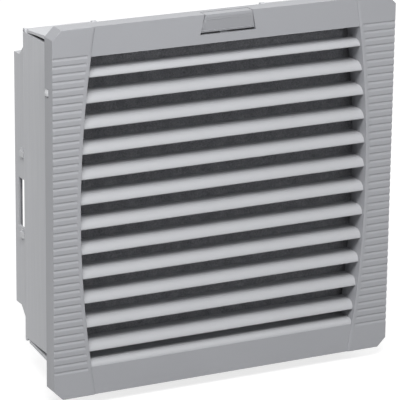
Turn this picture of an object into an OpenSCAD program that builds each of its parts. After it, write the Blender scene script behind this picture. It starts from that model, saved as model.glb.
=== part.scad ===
// Exhaust filter for an electrical enclosure: a louvred cover on a snap in housing.
// X runs to the right, Y runs into the enclosure and Z runs up.
// The origin is the centre of the square cut-out, in the outer face of the enclosure panel.

/* [Cover] */
// Width and height of the square cover
cover_size = 320; // [314:1:326]
// Depth of the cover from its ribbed front to the rear edge of its skirt
cover_depth = 16; // [15:0.5:20]
// Wall of the moulded cover
cover_wall = 2.5; // [2:0.1:2.8]
// Leg of the cut on each corner
corner_cut = 8; // [6:0.5:10]
// Border of the cover above and below the louvred opening
open_border = 25; // [24:0.5:28]
// Border of the cover beside the opening half way up, where the bowed sides are furthest apart
side_border = 25; // [22:0.5:30]
// Distance by which the bowed sides draw in from half way up to the corners
side_bow = 9.5; // [6:0.5:12]
// Rise of the sloping sill towards the housing
sill_rise = 2.4; // [1:0.2:2.6]

/* [Ribbed side panels] */
// Thickness by which a side panel stands on the cover
panel_t = 1.2; // [1:0.1:1.6]
// Spaces between the grooves of a side panel
rib_count = 42; // [20:1:44]
// Plain stretch of a side panel above and below its grooves
rib_margin = 24.2; // [20:0.2:34]
// Width of a groove at the surface
groove_w = 2.2; // [1.2:0.1:2.6]
// Depth of a groove
groove_d = 0.8; // [0.4:0.1:0.9]
// Plain strip between the grooves and the opening
border_w = 3; // [2:0.5:6]

/* [Louvres] */
// Distance from the top of the opening to the lower edge of the first blade
first_drop = 18.3; // [16:0.1:19]
// Distance from the lower edge of the last blade to the bottom of the opening
last_gap = 13; // [12:0.5:16]
// Depth of a blade from front to back
blade_depth = 21; // [15:0.5:22]
// Height by which the back of a blade stands above its lower edge
blade_rise = 7.4; // [6:0.1:11]
// Thickness of a blade
blade_t = 2; // [1.4:0.1:2.6]
// Distance of the blades behind the middle face of the cover
blade_setback = 1.8; // [1.2:0.1:2.2]

/* [Release latch] */
// Width of the grip plate at its lower edge
grip_low_w = 51; // [44:1:52]
// Width of the grip plate at the top edge of the cover
grip_top_w = 43; // [36:1:46]
// Height of the grip plate
grip_h = 15.8; // [15.4:0.1:16.4]
// Slot under the grip plate for a fingertip or a screwdriver
grip_slot = 1.6; // [1.2:0.1:2]
// Depth by which the lower edge of the grip plate lies behind its upper edge
grip_ramp = 3.2; // [2:0.1:3.6]
// Radius of the latch pin
latch_pin_r = 1; // [0.8:0.1:1.2]

/* [Cover hinge] */
// Radius of the hinge knuckles along the lower edge
knuckle_r = 4; // [3.6:0.1:4.2]
// Radius of the hinge pins
hinge_pin_r = 1.25; // [1:0.05:1.5]
// Distance of each hinge ear from the side of the cover
hinge_inset = 50; // [40:1:70]
// Width of a hinge ear
ear_w = 10; // [8:0.5:14]
// Length of the knuckle on each side of an ear
knuckle_w = 9; // [6:0.5:12]

/* [Housing] */
// Overlap of the cover past the square cut-out in the enclosure panel, on each side
cutout_border = 14.5; // [13.5:0.5:16]
// Clearance between the housing and the cut-out on each side
cutout_gap = 0.5; // [0.4:0.1:1]
// Depth of the housing behind the panel
housing_depth = 80; // [64:1:92]
// Wall of the housing
housing_wall = 2.2; // [1.8:0.1:2.6]
// Room for the snap flaps between the cut-out and the top and bottom walls
flap_room = 11.3; // [10.5:0.1:12]
// Height by which the side walls stand above the top and bottom walls
side_lip = 2.6; // [2.2:0.1:2.6]
// Thickness of the flange
flange_t = 3; // [2.5:0.1:3.5]
// Clearance between the flange and the skirt of the cover
flange_gap = 1.5; // [1:0.1:1.8]
// Radius of the rounded rear edges of the housing
rear_round = 4; // [2:0.5:4.5]
// Radius of the four fixing holes in the flange
screw_hole_r = 2.1; // [1.6:0.1:2.3]
// Distance of the fixing holes below and above the ends of the flange
screw_drop = 36; // [30:1:60]

/* [Gasket] */
// Thickness of the foam gasket
gasket_t = 3; // [2.5:0.1:4]

/* [Filter mat] */
// Thickness of the filter mat over its flutes
mat_t = 17; // [13:0.5:17]
// Depth of the flutes on each side of the mat
flute_d = 4; // [2:0.5:5]
// Flutes across the mat
flute_count = 14; // [8:1:20]
// Thickness of the grid that carries the mat
grid_t = 4; // [3:0.5:5]
// Width of the bars of the grid
grid_bar = 2.4; // [1.8:0.2:3.2]
// Bars of the grid in each direction
grid_count = 10; // [6:1:12]
// Width of the frame round the grid
grid_frame = 7; // [5:0.5:9]

/* [Snap flaps] */
// Width of each snap flap
flap_w = 62; // [50:1:64]
// Thickness of a flap
flap_t = 2.5; // [2:0.1:2.8]
// Height of the stiffening ribs at the front of a flap
flap_rib_h = 4.6; // [4:0.1:4.8]
// Distance by which the tip of a flap reaches behind the panel
flap_catch = 0.7; // [0.5:0.1:1.2]
// Greatest thickness of the panel that the flaps hold
panel_max = 2.6; // [2:0.1:3]
// Radius of the barrel at the root of a flap
barrel_r = 2.3; // [2.1:0.1:2.4]
// Radius of the rods that the flaps turn on
rod_r = 1.2; // [1:0.05:1.3]
// Thickness of the leaf springs under the flaps
leaf_t = 0.6; // [0.4:0.1:0.8]
// Width of the leaf springs
leaf_w = 14; // [10:1:18]

/* [Rear hood] */
// Depth of the hood behind the housing
hood_depth = 24; // [22:1:34]
// Drop from the edge of the housing to the base of the hood at top and bottom
hood_drop = 11.5; // [10.5:0.5:14]
// Leg of the slope along the top and bottom of the hood
hood_slope = 12.5; // [8:0.5:16]
// Wall of the hood
hood_wall = 2.2; // [1.8:0.1:2.6]
// Inset of the hood from the side walls of the housing
hood_inset = 3; // [2.6:0.1:3.6]
// Width of the lip round the rear opening of the hood
hood_lip = 6; // [4:0.5:10]
// Height of the window in each side of the hood
window_h = 44; // [36:1:48]
// Distance of the middle of the window below the middle of the hood
window_drop = 19; // [0:1:30]
// Width of the window in each side of the hood
window_w = 13; // [8:0.5:14]

/* [Hidden] */

// Colours of the plastics and metals
grey_cover = [0.65, 0.655, 0.665];
grey_louvre = [0.8, 0.805, 0.81];
grey_housing = [0.67, 0.675, 0.685];
grey_gasket = [0.3, 0.3, 0.31];
white_mat = [0.9, 0.9, 0.88];
steel = [0.72, 0.73, 0.75];

// Overrun of every cut past the face that it cuts
over = 1;
// Overlap by which joined bodies of one piece run into each other
bond = 0.5;
// Clearance between pieces that are fitted but do not move
fit = 0.1;
// Clearance between pieces that move past each other
play = 0.4;
// Clearance round the foam and fibre pieces
soft_gap = 0.3;
// Radial clearance of pins and rods in their bores
bore_gap = 0.05;

// Levels along Y, from the panel outwards
y_flange_back = -gasket_t;
y_flange_front = y_flange_back - flange_t;
skirt_reveal = 1;
y_skirt_back = y_flange_back - skirt_reveal;
y_front = y_skirt_back - cover_depth;
y_face = y_front + panel_t;
y_face_back = y_face + cover_wall;
y_tunnel_back = y_flange_front - play;
y_blade = y_face + blade_setback;
y_blade_back = y_blade + blade_depth;
y_cheek_back = y_blade_back + soft_gap;

// Half sizes of the cover and its opening
half_cover = cover_size / 2;
half_open = half_cover - open_border;
half_mid = half_cover - side_border;
bow_r = (half_open * half_open + side_bow * side_bow) / (2 * side_bow);
ribbed_h = cover_size - 2 * rib_margin;
blade_count = 12;
blade_pitch = (2 * half_open - first_drop - last_gap) / (blade_count - 1);
hinge_x = half_cover - hinge_inset;

// Half sizes of the housing
half_cutout = half_cover - cutout_border;
half_body_w = half_cutout - cutout_gap;
half_body_h = half_cutout - flap_room;
half_in_w = half_body_w - housing_wall;
half_in_h = half_body_h - housing_wall;
half_side_h = half_body_h + side_lip;
half_flange = half_cover - cover_wall - flange_gap;
screw_x = (half_body_w + half_flange) / 2;
screw_z = half_flange - screw_drop;

// Hinge line in the rounded lower edge of the skirt
y_hinge = y_skirt_back - knuckle_r;
z_hinge = knuckle_r - half_cover;
z_flange_low = z_hinge + knuckle_r + play;
ear_r = knuckle_r - play;
ear_rise = 10;
pin_reach = ear_w / 2 + knuckle_w;

// Mat and grid inside the housing
mat_gap = 2;
y_mat = y_cheek_back + mat_gap;
y_grid = y_mat + mat_t + soft_gap;
y_ledge = y_grid + grid_t + fit;
ledge_w = 4;

// Latch in the top of the cover
y_grip_low = y_front + grip_ramp;
z_grip_low = half_cover - grip_h;
z_grip_slot = z_grip_low - grip_slot;
grip_wall = 2.2;
grip_lip = 8.6;
grip_gap = 0.5;
grip_swing = 1.6;
y_pivot = y_front + 3 * grip_wall;
z_pivot = half_cover - 3 * grip_wall;
boss_r = 2.3 * latch_pin_r;
boss_x = 18;
boss_w = 4;
lug_x = grip_low_w / 2 + 1.5 * cover_wall;
lug_w = 4;
hook_t = 2;
hook_w = 12;
barb_t = 1.2;
barb_h = 1.4;
y_hook_end = y_flange_front - 1.9 * barb_t;
z_hook = z_grip_low + hook_t + flange_t / 2;
keeper_reach = 6;
keeper_w = 16;
keeper_t = 1.5;

// Catches in the side walls of the skirt
catch_drop = 54;
catch_z = half_cover - catch_drop;
catch_h = 5;
catch_proud = 1.4;
catch_depth = 7;
catch_foot = 5;

// Flap line at the rear of the housing
rod_inset = 5;
y_rod = housing_depth - rod_inset;
z_rod = half_body_h + barrel_r + soft_gap;
rod_lug_r = 3;
y_tip = panel_max;
z_tip = half_cutout + flap_catch;
flap_run = y_rod - y_tip;
flap_rib_w = 2;
mid_lug_w = 4;
mid_lug_x = half_body_w - flap_w - play;
lug_length = 2 * rod_lug_r + play;
leaf_x = half_body_w - flap_w / 2;
leaf_front_share = 0.26;
leaf_run_share = 0.48;
leaf_foot_share = 0.1;
leaf_y = y_tip + flap_run * leaf_front_share;
leaf_run = flap_run * leaf_run_share;
leaf_foot = flap_run * leaf_foot_share;
guide_rib_t = 3;
guide_rib_x = 30;
guide_rib_share = 0.7;
guide_rib_l = y_rod * guide_rib_share;

// Hood behind the housing
half_hood_w = half_body_w - hood_inset;
half_hood_h = half_side_h - hood_drop;
y_hood_back = housing_depth + hood_depth;
window_low_z = -window_drop - window_h / 2;
window_front = 4;
clip_h = 5;
clip_t = 2.4;
clip_l = 9;
clip_upper_gap = 23.5;
clip_lower_gap = 5.5;
clip_upper_z = window_low_z + window_h + clip_upper_gap;
clip_lower_z = window_low_z - clip_lower_gap;

// Square with cut corners, centred
module cut_square(w, h, cut) {
    polygon([[-w / 2 + cut, -h / 2], [w / 2 - cut, -h / 2],
        [w / 2, -h / 2 + cut], [w / 2, h / 2 - cut],
        [w / 2 - cut, h / 2], [-w / 2 + cut, h / 2],
        [-w / 2, h / 2 - cut], [-w / 2, -h / 2 + cut]]);
}

// Extrudes a front view outline from level y0 to level y1
module from_front(y0, y1) {
    translate([0, y1, 0])
        rotate([90, 0, 0])
            linear_extrude(y1 - y0)
                children();
}

// Extrudes a side view outline, drawn as Y and Z, from x0 to x1
module from_side(x0, x1) {
    translate([x0, 0, 0])
        rotate([90, 0, 90])
            linear_extrude(x1 - x0)
                children();
}

// Box given by its lowest and highest corners
module span(low, high) {
    translate(low)
        cube(high - low);
}

// Round bar along X
module bar_x(x0, x1, y, z, r) {
    translate([x0, y, z])
        rotate([0, 90, 0])
            cylinder(h = x1 - x0, r = r, $fn = 48);
}

// Round bar along Y
module bar_y(y0, y1, x, z, r, facets) {
    translate([x, y1, z])
        rotate([90, 0, 0])
            cylinder(h = y1 - y0, r = r, $fn = facets);
}

// Cylinder whose edge is the bowed side of the opening, on the side that sign gives
module bow_cylinder(y0, y1, sign, grow) {
    bar_y(y0, y1, -sign * (bow_r - half_mid), 0, bow_r + grow, 720);
}

// Body of the opening, with its height and its two bowed sides grown by the given amount
module opening_body(y0, y1, grow) {
    intersection() {
        span([-half_mid - over - grow, y0, -half_open - grow],
            [half_mid + over + grow, y1, half_open + grow]);
        bow_cylinder(y0 - over, y1 + over, -1, grow);
        bow_cylinder(y0 - over, y1 + over, 1, grow);
    }
}

// Repeats a shape on the left and on the right
module both_sides() {
    children();
    mirror([1, 0, 0])
        children();
}

// Front wall and skirt of the cover as one tray
module cover_tray() {
    inner = cover_size - 2 * cover_wall;
    inner_cut = corner_cut - cover_wall * (2 - sqrt(2));
    difference() {
        from_front(y_face, y_skirt_back)
            cut_square(cover_size, cover_size, corner_cut);
        from_front(y_face_back, y_skirt_back + over)
            cut_square(inner, inner, inner_cut);
    }
}

// Walls that carry the blades, and the shorter walls above and below them
module cover_tunnel() {
    difference() {
        opening_body(y_face + bond, y_tunnel_back, cover_wall);
        opening_body(y_face, y_tunnel_back + over, 0);
    }
    intersection() {
        difference() {
            opening_body(y_tunnel_back - bond, y_cheek_back, cover_wall);
            opening_body(y_face, y_cheek_back + over, 0);
        }
        span([-half_cover, y_face, -half_in_h + play + bond],
            [half_cover, y_cheek_back + over, half_in_h - play - bond]);
    }
}

// Sloping sill of the opening
module cover_sill() {
    intersection() {
        from_side(-half_cover, half_cover)
            polygon([[y_face, -half_open - bond], [y_face, -half_open],
                [y_tunnel_back, sill_rise - half_open], [y_tunnel_back, -half_open - bond]]);
        opening_body(y_face, y_tunnel_back, cover_wall / 2);
    }
}

// Knuckles of the cover on both sides of one hinge ear
module cover_knuckles() {
    bar_x(hinge_x - pin_reach, hinge_x + pin_reach, y_hinge, z_hinge, knuckle_r);
}

// Space for one hinge ear between its knuckles
module ear_pocket() {
    half = ear_w / 2 + play;
    span([hinge_x - half, y_hinge - knuckle_r - play, z_hinge - knuckle_r - over],
        [hinge_x + half, y_skirt_back + over, z_hinge + knuckle_r + play]);
}

// Waste outside the rounded lower edge of the skirt
module lower_edge_waste() {
    difference() {
        span([-half_cover - over, y_hinge, -half_cover - over],
            [half_cover + over, y_skirt_back + over, z_hinge]);
        bar_x(-half_cover - 2 * over, half_cover + 2 * over, y_hinge, z_hinge, knuckle_r);
    }
}

// Outline of the grip plate in the front view, grown by the given clearance
module grip_outline(grow, low, high) {
    polygon([[-grip_low_w / 2 - grow, low], [grip_low_w / 2 + grow, low],
        [grip_top_w / 2 + grow, high], [-grip_top_w / 2 - grow, high]]);
}

// Lug that carries one end of the latch pin
module latch_lug() {
    span([lug_x, y_face_back - bond, z_pivot - boss_r],
        [lug_x + lug_w, y_pivot + boss_r, half_cover - cover_wall + bond]);
}

// Notch in the side of the skirt for a catch
module catch_notch() {
    gap = play + fit;
    span([half_cover - cover_wall - over, y_skirt_back - catch_depth - gap,
        catch_z - catch_h / 2 - 3 * gap],
        [half_cover + over, y_skirt_back + over, catch_z + catch_h / 2 + gap]);
}

// Louvred cover without its blades and side panels
module cover_frame() {
    color(grey_cover) {
        difference() {
            union() {
                difference() {
                    union() {
                        cover_tray();
                        both_sides()
                            cover_knuckles();
                        both_sides()
                            latch_lug();
                    }
                    opening_body(y_face - over, y_face_back + over, 0);
                    from_front(y_front - over, y_front + grip_lip + grip_swing)
                        grip_outline(grip_gap, z_grip_slot, half_cover + over);
                }
                cover_tunnel();
                cover_sill();
            }
            lower_edge_waste();
            both_sides()
                ear_pocket();
            both_sides()
                catch_notch();
            both_sides()
                bar_x(hinge_x - pin_reach, hinge_x + pin_reach, y_hinge, z_hinge, hinge_pin_r + bore_gap);
            bar_x(-lug_x - lug_w + cover_wall / 2, lug_x + lug_w - cover_wall / 2, y_pivot, z_pivot,
                latch_pin_r + bore_gap);
        }
    }
}

// Grooves of a side panel, cut short of the plain border
module rib_grooves() {
    difference() {
        union() {
            for (i = [0:rib_count]) {
                z = ribbed_h / 2 - i * ribbed_h / rib_count;
                from_side(-half_cover - over, 0)
                    polygon([[y_front - over, z - groove_w / 2 - over * groove_w / (2 * groove_d)],
                        [y_front + groove_d, z],
                        [y_front - over, z + groove_w / 2 + over * groove_w / (2 * groove_d)]]);
            }
        }
        bow_cylinder(y_front - 2 * over, y_face + over, -1, border_w);
    }
}

// Ribbed panel on the left of the cover
module ribbed_panel() {
    color(grey_cover)
        difference() {
            from_front(y_front, y_face)
                intersection() {
                    cut_square(cover_size, cover_size, corner_cut);
                    translate([-half_cover - over, -half_cover - over])
                        square([half_cover, cover_size + 2 * over]);
                }
            bow_cylinder(y_front - over, y_face + over, -1, 0);
            rib_grooves();
        }
}

// Height of the upper side of a blade as a share of its rise, at the share s of its depth:
// three parts of straight slope and seven parts of quarter ellipse
slope_share = 0.3;
function blade_curve(s) = slope_share * s + (1 - slope_share) * sqrt(1 - (1 - s) * (1 - s));

blade_steps = 14;
// The first blade is a shorter one, because the wall above the opening shades it
first_blade_share = 0.75;

// Side view of a blade: the curved upper side, and the same curve a wall lower
module blade_outline(depth, rise) {
    steps = [for (i = [0:blade_steps]) pow(i / blade_steps, 2)];
    upper = [for (s = steps) [y_blade + depth * s, rise * blade_curve(s)]];
    lower = [for (i = [blade_steps:-1:0])
        [y_blade + blade_t + (depth - blade_t) * steps[i], (rise - blade_t) * blade_curve(steps[i])]];
    polygon(concat(upper, lower));
}

// One blade, counted from the top
module louvre(index) {
    share = index == 0 ? first_blade_share : 1;
    color(grey_louvre)
        intersection() {
            translate([0, 0, half_open - first_drop - index * blade_pitch])
                from_side(-half_mid, half_mid)
                    blade_outline(share * blade_depth, share * blade_rise);
            opening_body(y_face, y_cheek_back, -fit);
        }
}

// Sprung grip plate that releases the cover
module release_latch() {
    color(grey_cover)
        difference() {
            union() {
                intersection() {
                    from_side(-grip_low_w, grip_low_w)
                        polygon([[y_front, half_cover], [y_front + grip_lip, half_cover],
                            [y_front + grip_lip, half_cover - grip_wall],
                            [y_front + 1.5 * grip_wall, half_cover - grip_wall],
                            [y_grip_low + grip_wall, z_grip_low], [y_grip_low, z_grip_low],
                            [y_front, half_cover - grip_wall]]);
                    from_front(y_front - over, y_front + grip_lip + over)
                        grip_outline(0, z_grip_low, half_cover);
                }
                both_sides()
                    union() {
                        bar_x(boss_x, boss_x + boss_w, y_pivot, z_pivot, boss_r);
                        span([boss_x, y_front + grip_wall, z_pivot - boss_r],
                            [boss_x + boss_w, y_pivot, z_pivot + boss_r]);
                    }
                span([-hook_w / 2, y_grip_low + grip_wall / 2, z_hook - hook_t],
                    [hook_w / 2, y_hook_end, z_hook]);
                span([-hook_w / 2, y_hook_end - barb_t, z_hook - bond],
                    [hook_w / 2, y_hook_end, z_hook + barb_h]);
            }
            bar_x(-boss_x - boss_w - over, boss_x + boss_w + over, y_pivot, z_pivot, latch_pin_r + bore_gap);
        }
}

// Pin of the latch
module latch_pin() {
    end = lug_x + lug_w - cover_wall / 2 - fit;
    color(steel)
        bar_x(-end, end, y_pivot, z_pivot, latch_pin_r);
}

// Leaf spring that lifts the hook of the latch
module latch_spring() {
    foot_z = half_open + cover_wall;
    top_z = z_hook - hook_t - soft_gap;
    leaf = leaf_t * 0.8;
    low_y = y_tunnel_back - soft_gap;
    high_y = y_hook_end - barb_t;
    bend_y = y_grip_low + 2 * grip_wall;
    color(steel)
        from_side(-hook_w / 3, hook_w / 3)
            polygon([[low_y, foot_z], [bend_y, foot_z], [high_y, top_z], [high_y + leaf, top_z - leaf],
                [bend_y + 3 * leaf, foot_z + leaf], [low_y, foot_z + leaf]]);
}

// Pin of the left hinge
module hinge_pin() {
    color(steel)
        bar_x(-hinge_x - pin_reach, -hinge_x + pin_reach, y_hinge, z_hinge, hinge_pin_r);
}

// Front view of the flange, cut short along its lower edge to clear the hinge
module flange_outline() {
    cut = corner_cut + flange_gap;
    low_cut = corner_cut + 3 * flange_gap;
    polygon([[-half_flange + low_cut, z_flange_low], [half_flange - low_cut, z_flange_low],
        [half_flange, z_flange_low + low_cut], [half_flange, half_flange - cut],
        [half_flange - cut, half_flange], [-half_flange + cut, half_flange],
        [-half_flange, half_flange - cut], [-half_flange, z_flange_low + low_cut]]);
}

// Four fixing holes, from level y0 to level y1
module fixing_holes(y0, y1, r) {
    for (x = [-screw_x, screw_x])
        for (z = [-screw_z, screw_z])
            bar_y(y0, y1, x, z, r, 32);
}

// Walls of the housing: a tube whose side walls stand above its top and bottom
module housing_walls() {
    difference() {
        union() {
            span([-half_body_w, y_flange_back - bond, -half_body_h],
                [half_body_w, housing_depth, half_body_h]);
            both_sides()
                span([half_in_w, y_flange_back - bond, -half_side_h],
                    [half_body_w, housing_depth, half_side_h]);
            for (s = [0, 1])
                mirror([0, 0, s])
                    both_sides()
                        bar_x(half_in_w, half_body_w, y_rod, z_rod, rod_lug_r);
        }
        span([-half_in_w, y_flange_front - over, -half_in_h],
            [half_in_w, housing_depth - housing_wall, half_in_h]);
        span([-half_hood_w + hood_wall + ledge_w, housing_depth - 2 * housing_wall,
            -half_hood_h + hood_wall + ledge_w],
            [half_hood_w - hood_wall - ledge_w, housing_depth + over, half_hood_h - hood_wall - ledge_w]);
        both_sides()
            difference() {
                span([half_body_w - rear_round, housing_depth - rear_round, -half_side_h - 2 * rod_lug_r],
                    [half_body_w + over, housing_depth + over, half_side_h + 2 * rod_lug_r]);
                translate([half_body_w - rear_round, housing_depth - rear_round, 0])
                    cylinder(h = 2 * half_side_h + 6 * rod_lug_r, r = rear_round, center = true, $fn = 48);
            }
    }
}

// Ledge inside the housing that the mat grid lies on
module grid_ledge() {
    difference() {
        span([-half_in_w - bond, y_ledge, -half_in_h - bond],
            [half_in_w + bond, y_ledge + housing_wall, half_in_h + bond]);
        span([-half_in_w + ledge_w, y_ledge - over, -half_in_h + ledge_w],
            [half_in_w - ledge_w, y_ledge + housing_wall + over, half_in_h - ledge_w]);
    }
}

// On the top wall: ribs that centre the housing in the cut-out, and the inner lugs of the rod
module top_ribs() {
    top = half_cutout - cutout_gap;
    both_sides()
        from_side(guide_rib_x, guide_rib_x + guide_rib_t)
            polygon([[y_flange_back - bond, half_body_h - bond], [guide_rib_l, half_body_h - bond],
                [guide_rib_l, half_body_h + side_lip], [guide_rib_l / 2, top], [y_flange_back - bond, top]]);
    both_sides()
        union() {
            bar_x(mid_lug_x - mid_lug_w, mid_lug_x, y_rod, z_rod, rod_lug_r);
            span([mid_lug_x - mid_lug_w, y_rod - rod_lug_r, half_body_h - bond],
                [mid_lug_x, y_rod + rod_lug_r, z_rod]);
        }
}

// Ear of the housing that carries the right hinge pin
module hinge_ear() {
    bar_x(hinge_x - ear_w / 2, hinge_x + ear_w / 2, y_hinge, z_hinge, ear_r);
    span([hinge_x - ear_w / 2, y_hinge - ear_r, z_hinge],
        [hinge_x + ear_w / 2, y_flange_front + bond, z_hinge + ear_rise]);
}

// Keeper for the hook of the latch
module latch_keeper() {
    z_lip = z_hook + barb_h + fit * 2;
    y_lip = y_flange_front - keeper_reach;
    span([-keeper_w / 2, y_lip, z_lip + keeper_t],
        [keeper_w / 2, y_flange_front + bond, z_lip + 2 * keeper_t]);
    span([-keeper_w / 2, y_lip, z_lip], [keeper_w / 2, y_lip + barb_t, z_lip + 2 * keeper_t]);
}

// Moulded housing with its flange
module housing() {
    color(grey_housing)
        difference() {
            union() {
                difference() {
                    from_front(y_flange_front, y_flange_back)
                        flange_outline();
                    span([-half_in_w, y_flange_front - over, -half_in_h],
                        [half_in_w, y_flange_back + over, half_in_h]);
                }
                housing_walls();
                grid_ledge();
                for (s = [0, 1])
                    mirror([0, 0, s])
                        top_ribs();
                both_sides()
                    hinge_ear();
                latch_keeper();
            }
            fixing_holes(y_flange_front - over, y_flange_back + over, screw_hole_r);
            bar_x(-half_cover, half_cover, y_hinge, z_hinge, hinge_pin_r + bore_gap);
            for (s = [-1, 1])
                bar_x(-half_body_w - over, half_body_w + over, y_rod, s * z_rod, rod_r + bore_gap);
        }
}

// Foam gasket between flange and panel
module gasket() {
    color(grey_gasket)
        difference() {
            from_front(y_flange_back, 0)
                flange_outline();
            span([-half_body_w - soft_gap, y_flange_back - over, -half_cutout - soft_gap],
                [half_body_w + soft_gap, over, half_cutout + soft_gap]);
            fixing_holes(y_flange_back - over, over, screw_hole_r + soft_gap);
        }
}

// Catch on the right edge of the flange, which shows in the side of the skirt
module side_catch() {
    reach = half_cover + catch_proud;
    color(grey_cover)
        translate([0, 0, catch_z])
            union() {
                span([half_flange - catch_foot, y_flange_front - flange_t / 2, -catch_h / 2],
                    [half_flange, y_flange_front, catch_h / 2]);
                from_front(y_skirt_back - catch_depth, y_flange_front)
                    polygon([[half_flange - flange_gap, -catch_h / 2], [reach, -catch_h / 2],
                        [reach, 0], [half_cover, catch_h / 2], [half_flange - flange_gap, catch_h / 2]]);
            }
}

// Fluted fibre mat: both faces run in flutes from top to bottom
module filter_mat() {
    half_w = half_in_w - soft_gap;
    half_h = half_in_h - soft_gap;
    step = half_w / flute_count;
    front = [for (i = [0:2 * flute_count]) [-half_w + i * step, -y_mat - (i % 2) * flute_d]];
    back = [for (i = [2 * flute_count:-1:0]) [-half_w + i * step, -y_mat - mat_t + (1 - i % 2) * flute_d]];
    color(white_mat)
        translate([0, 0, -half_h])
            linear_extrude(2 * half_h)
                mirror([0, 1])
                    polygon(concat(front, back));
}

// Grid that carries the mat from behind
module mat_support_grid() {
    half_w = half_in_w - fit;
    half_h = half_in_h - fit;
    y_end = y_grid + grid_t;
    step_x = 2 * half_w / (grid_count + 1);
    step_z = 2 * half_h / (grid_count + 1);
    color(grey_housing)
        union() {
            difference() {
                span([-half_w, y_grid, -half_h], [half_w, y_end, half_h]);
                span([-half_w + grid_frame, y_grid - over, -half_h + grid_frame],
                    [half_w - grid_frame, y_end + over, half_h - grid_frame]);
            }
            for (i = [1:grid_count]) {
                x = -half_w + i * step_x;
                span([x - grid_bar / 2, y_grid, -half_h + grid_frame / 2],
                    [x + grid_bar / 2, y_grid + grid_t * 0.6, half_h - grid_frame / 2]);
            }
            for (i = [1:grid_count]) {
                z = -half_h + i * step_z;
                span([-half_w + grid_frame / 2, y_grid + grid_t * 0.4, z - grid_bar / 2],
                    [half_w - grid_frame / 2, y_end, z + grid_bar / 2]);
            }
        }
}

// Height of the underside of the flap plate at the depth y
function flap_under(y) = z_tip - flap_t
    + (z_rod + barrel_r - z_tip) * (y - y_tip) / (y_rod - y_tip);

// Snap flap on the top right of the housing
module snap_flap() {
    x0 = half_body_w - flap_w;
    x1 = half_body_w;
    x_barrel = half_in_w - play;
    color(grey_housing)
        difference() {
            union() {
                from_side(x0, x1)
                    polygon([[y_tip, z_tip], [y_rod, z_rod + barrel_r], [y_rod, z_rod + barrel_r - flap_t],
                        [y_tip, z_tip - flap_t]]);
                for (x = [x0, x1 - flap_rib_w])
                    from_side(x, x + flap_rib_w)
                        polygon([[y_tip, z_tip], [y_rod, z_rod + barrel_r], [y_rod, z_rod + barrel_r / 2],
                            [y_tip, z_tip - flap_rib_h]]);
                bar_x(x0, x_barrel, y_rod, z_rod, barrel_r);
            }
            span([x_barrel, y_rod - lug_length, z_rod - 2 * barrel_r],
                [x1 + over, y_rod + lug_length, z_rod + 3 * barrel_r]);
            bar_x(x0 - over, x1 + over, y_rod, z_rod, rod_r + bore_gap);
        }
}

// Rod that carries the two upper flaps
module flap_rod() {
    color(steel)
        bar_x(-half_body_w + housing_wall / 4, half_body_w - housing_wall / 4, y_rod, z_rod, rod_r);
}

// Leaf spring under the upper right flap: a flat foot and a rising S curve
module leaf_spring() {
    steps = 12;
    top = flap_under(leaf_y) - soft_gap - leaf_t;
    rise = top - half_body_h;
    curve = [for (i = [0:steps])
        [leaf_y + leaf_run * (1 - i / steps), half_body_h + rise * (1 - cos(180 * i / steps)) / 2]];
    lower = concat([[leaf_y + leaf_run + leaf_foot, half_body_h]], curve);
    upper = [for (i = [len(lower) - 1:-1:0]) [lower[i][0], lower[i][1] + leaf_t]];
    color(steel)
        from_side(leaf_x - leaf_w / 2, leaf_x + leaf_w / 2)
            polygon(concat(lower, upper));
}

// Side view of the hood, with the same slope at top and bottom, drawn inwards by the given wall
module hood_outline(wall) {
    back_h = half_hood_h - hood_slope;
    slant = wall * (sqrt(2) - 1);
    y_bend = housing_depth + hood_slope - slant;
    polygon([[housing_depth, half_hood_h - wall * sqrt(2)], [y_bend, back_h - wall],
        [y_hood_back, back_h - wall], [y_hood_back, wall - back_h],
        [y_bend, wall - back_h], [housing_depth, wall * sqrt(2) - half_hood_h]]);
}

// Window through both sides of the hood
module hood_window() {
    y0 = housing_depth + window_front;
    span([-half_hood_w - over, y0, window_low_z],
        [half_hood_w + over, y0 + window_w, window_low_z + window_h]);
}

// Hood behind the housing, open to the rear
module rear_hood() {
    back_h = half_hood_h - hood_slope;
    color(grey_housing)
        difference() {
            from_side(-half_hood_w, half_hood_w)
                hood_outline(0);
            difference() {
                from_side(-half_hood_w + hood_wall, half_hood_w - hood_wall)
                    hood_outline(hood_wall);
                span([-half_hood_w, y_hood_back - hood_wall, -half_hood_h],
                    [half_hood_w, y_hood_back + over, half_hood_h]);
            }
            span([-half_hood_w + hood_wall, housing_depth - over, -half_hood_h + hood_wall * sqrt(2)],
                [half_hood_w - hood_wall, housing_depth + hood_wall / 4, half_hood_h - hood_wall * sqrt(2)]);
            span([-half_hood_w + hood_lip, y_hood_back - 2 * hood_wall, -back_h + hood_lip],
                [half_hood_w - hood_lip, y_hood_back + over, back_h - hood_lip]);
            hood_window();
        }
}

// Clip that holds the hood to the right side of the housing
module hood_clip(z) {
    color(grey_cover)
        translate([0, 0, z])
            union() {
                span([half_hood_w, housing_depth, -clip_h / 2],
                    [half_hood_w + clip_t, housing_depth + clip_l, clip_h / 2]);
                span([half_hood_w, housing_depth + clip_l - clip_t, -clip_h / 2 - clip_t],
                    [half_hood_w + clip_t / 2, housing_depth + clip_l, clip_h / 2 + clip_t]);
            }
}

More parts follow.
